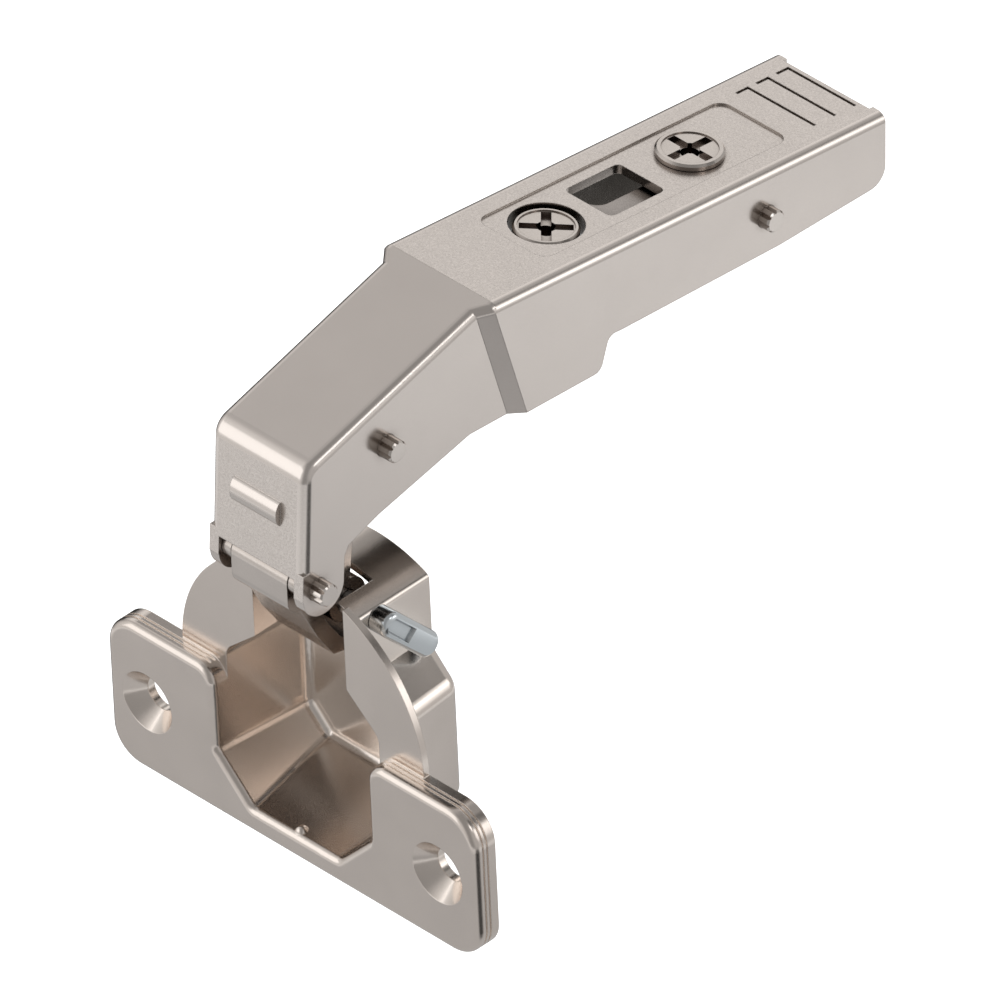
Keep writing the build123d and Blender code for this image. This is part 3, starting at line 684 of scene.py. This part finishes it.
    def floor_material(self) -> bpy.types.Material:
        """Make the floor's material: white to the camera, pale to the metal, open from below.

        Returns:
            The floor's material.
        """
        material = bpy.data.materials.new("pale_floor")
        material.use_nodes = True
        graph = NodeGraph(material.node_tree)
        path = graph.node("ShaderNodeLightPath").outputs
        diffuse = graph.node("ShaderNodeBsdfDiffuse", Color=FLOOR_COLOUR).outputs["BSDF"]
        pale = graph.node("ShaderNodeEmission", Strength=self.floor_level(graph))
        lit = graph.nodes.new("ShaderNodeAddShader")
        white = graph.node("ShaderNodeEmission", Color=WHITE)
        graph.feed(lit.inputs[0], diffuse)
        graph.feed(lit.inputs[1], white.outputs["Emission"])
        mirrored = graph.mixed_shader(path["Is Glossy Ray"], diffuse, pale.outputs["Emission"])
        above = graph.mixed_shader(path["Is Camera Ray"], mirrored, lit.outputs["Shader"])
        shown = graph.mixed_shader(
            graph.node("ShaderNodeNewGeometry").outputs["Backfacing"],
            above,
            graph.node("ShaderNodeBsdfTransparent").outputs["BSDF"],
        )
        graph.node("ShaderNodeOutputMaterial", Surface=shown)
        return material

    def floor(self) -> None:
        """Lay the pale floor, well below the hinge, which is held by its door."""
        mesh = bpy.data.meshes.new("studio_floor")
        disc = bmesh.new()
        bmesh.ops.create_circle(
            disc, cap_ends=True, radius=self.floor_radius, segments=FLOOR_SEGMENTS
        )
        bmesh.ops.translate(disc, verts=disc.verts, vec=(0.0, 0.0, -self.floor_drop))
        disc.to_mesh(mesh)
        disc.free()
        mesh.materials.append(self.floor_material())
        floor = bpy.data.objects.new("studio_floor", mesh)
        bpy.context.scene.collection.objects.link(floor)

    def build(self) -> None:
        """Set up the whole studio."""
        self.camera()
        for soft in self.lights:
            self.light(soft)
        self.floor()
        self.surroundings()
        bpy.context.scene.view_settings.view_transform = "Standard"


@dataclass(frozen=True)
class BentPin:
    """The cup's U-shaped pin: two legs joined by a rounded, stamped tongue on the right.

    Attributes:
        upper: the upper leg's place along Y and Z, in metres.
        lower: the lower leg's place along Y and Z, in metres.
        leg_radius: radius of a leg, in metres.
        leg_chamfer: width of the chamfer on a leg's ends, in metres.
        width: width of the tongue, in metres.
        thickness: thickness of the tongue, in metres.
        rounding: radius of the tongue's outer edge, in metres.
        rim: width of the rim round the sunk half, in metres.
        sunk: how deep the tongue's upper half is sunk, in metres.
    """

    upper: tuple[float, float] = (6.8 * MM, 14.2 * MM)
    lower: tuple[float, float] = (12.0 * MM, 8.6 * MM)
    leg_radius: float = 1.195 * MM
    leg_chamfer: float = 0.2 * MM
    width: float = 3.2 * MM
    thickness: float = 2.4 * MM
    rounding: float = 0.70 * MM
    rim: float = 0.20 * MM
    sunk: float = 0.38 * MM

    def strip(self, shape: bmesh.types.BMesh, half: float) -> None:
        """Form the tongue at the origin, lying along X with its outer face upwards.

        Args:
            shape: the empty mesh that takes it.
            half: half the distance between the legs, in metres.
        """
        bmesh.ops.create_circle(
            shape, cap_ends=True, radius=self.width / 2, segments=PIN_SEGMENTS
        )
        half_step = Matrix.Rotation(math.pi / PIN_SEGMENTS, 3, "Z")
        bmesh.ops.rotate(shape, verts=shape.verts, matrix=half_step)
        for end in (-1.0, 1.0):
            moved = [vert for vert in shape.verts if vert.co.x * end > 0.0]
            bmesh.ops.translate(shape, verts=moved, vec=(end * half, 0.0, 0.0))
        raised = bmesh.ops.extrude_face_region(shape, geom=shape.faces[:])["geom"]
        lifted = [item for item in raised if isinstance(item, bmesh.types.BMVert)]
        bmesh.ops.translate(shape, verts=lifted, vec=(0.0, 0.0, self.thickness))
        top = next(item for item in raised if isinstance(item, bmesh.types.BMFace))
        bmesh.ops.bevel(
            shape, geom=top.edges[:], affect="EDGES", offset=self.rounding,
            segments=ROUNDING_SEGMENTS, profile=0.5, material=-1,
        )
        top = max(shape.faces, key=lambda face: face.calc_center_median().z)
        bmesh.ops.bisect_plane(
            shape, geom=[top, *top.edges, *top.verts], plane_co=(0.0, 0.0, 0.0),
            plane_no=(1.0, 0.0, 0.0),
        )
        height = self.thickness - FLUSH
        halves = [face for face in shape.faces if face.calc_center_median().z > height]
        sinking = min(halves, key=lambda face: face.calc_center_median().x)
        bmesh.ops.inset_individual(shape, faces=[sinking], thickness=self.rim, depth=-self.sunk)

    def tongue(self, shape: bmesh.types.BMesh, outer: float) -> None:
        """Form the tongue, lying across the two legs.

        Args:
            shape: the empty mesh that takes it.
            outer: how far out along X its outer face is, in metres.
        """
        across = Vector((0.0, self.lower[0] - self.upper[0], self.lower[1] - self.upper[1]))
        self.strip(shape, across.length / 2)
        along, out = across.normalized(), Vector((1.0, 0.0, 0.0))
        turn = Matrix((along, out.cross(along), out)).transposed().to_4x4()
        middle = [(first + second) / 2 for first, second in zip(self.upper, self.lower)]
        place = Matrix.Translation((outer - self.thickness, *middle))
        bmesh.ops.transform(shape, matrix=place @ turn, verts=shape.verts)

    def leg(
        self, shape: bmesh.types.BMesh, place: tuple[float, float], start: float, length: float
    ) -> None:
        """Add one leg, with chamfered ends.

        Args:
            shape: the mesh that takes it.
            place: where it is along Y and Z, in metres.
            start: where it starts along X, in metres.
            length: its length, in metres.
        """
        seat = Matrix.Translation((start + length / 2, *place))
        made = bmesh.ops.create_cone(
            shape, cap_ends=True, segments=PIN_SEGMENTS, radius1=self.leg_radius,
            radius2=self.leg_radius, depth=length,
            matrix=seat @ Matrix.Rotation(math.pi / 2, 4, "Y"),
        )
        edges = dict.fromkeys(edge for vert in made["verts"] for edge in vert.link_edges)
        rims = [edge for edge in edges if abs(edge.verts[0].co.x - edge.verts[1].co.x) < FLUSH]
        bmesh.ops.bevel(
            shape, geom=rims, affect="EDGES", offset=self.leg_chamfer,
            segments=CHAMFER_SEGMENTS, profile=0.5, material=-1,
        )

    def build(self, metal: bpy.types.Material) -> None:
        """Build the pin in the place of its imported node.

        Args:
            metal: its material.
        """
        low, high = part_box("cup_pin")
        shape = bmesh.new()
        self.tongue(shape, high.x)
        for place in (self.upper, self.lower):
            self.leg(shape, place, low.x, high.x - self.thickness / 2 - low.x)
        bmesh.ops.recalc_face_normals(shape, faces=shape.faces)
        mesh = bpy.data.meshes.new("bent_pin")
        shape.to_mesh(mesh)
        shape.free()
        mesh.shade_smooth()
        mesh.set_sharp_from_angle(angle=SHARP_ANGLE)
        mesh.materials.append(metal)
        pin = bpy.data.objects.new("bent_pin", mesh)
        bpy.context.scene.collection.objects.link(pin)
        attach(pin, "cup_body")
        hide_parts("cup_pin")


def dress_nodes(metals: dict[Finish, bpy.types.Material]) -> None:
    """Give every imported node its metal.

    Args:
        metals: the materials by their finish.
    """
    for name, finish in NODE_FINISH.items():
        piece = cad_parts[name]
        if not piece.material_slots:
            piece.data.materials.append(metals[finish])
            continue
        for slot in piece.material_slots:
            slot.material = metals[finish]
    log.info("dressed %d nodes", len(NODE_FINISH))


def main() -> None:
    """Dress the hinge and set up its studio."""
    logging.basicConfig(level=logging.INFO)
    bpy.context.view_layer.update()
    metals = {finish: MetalMaterial(finish, look).build() for finish, look in LOOKS.items()}
    dress_nodes(metals)
    BentPin().build(metals[Finish.ZINC])
    Studio().build()


if __name__ == "__main__":
    main()
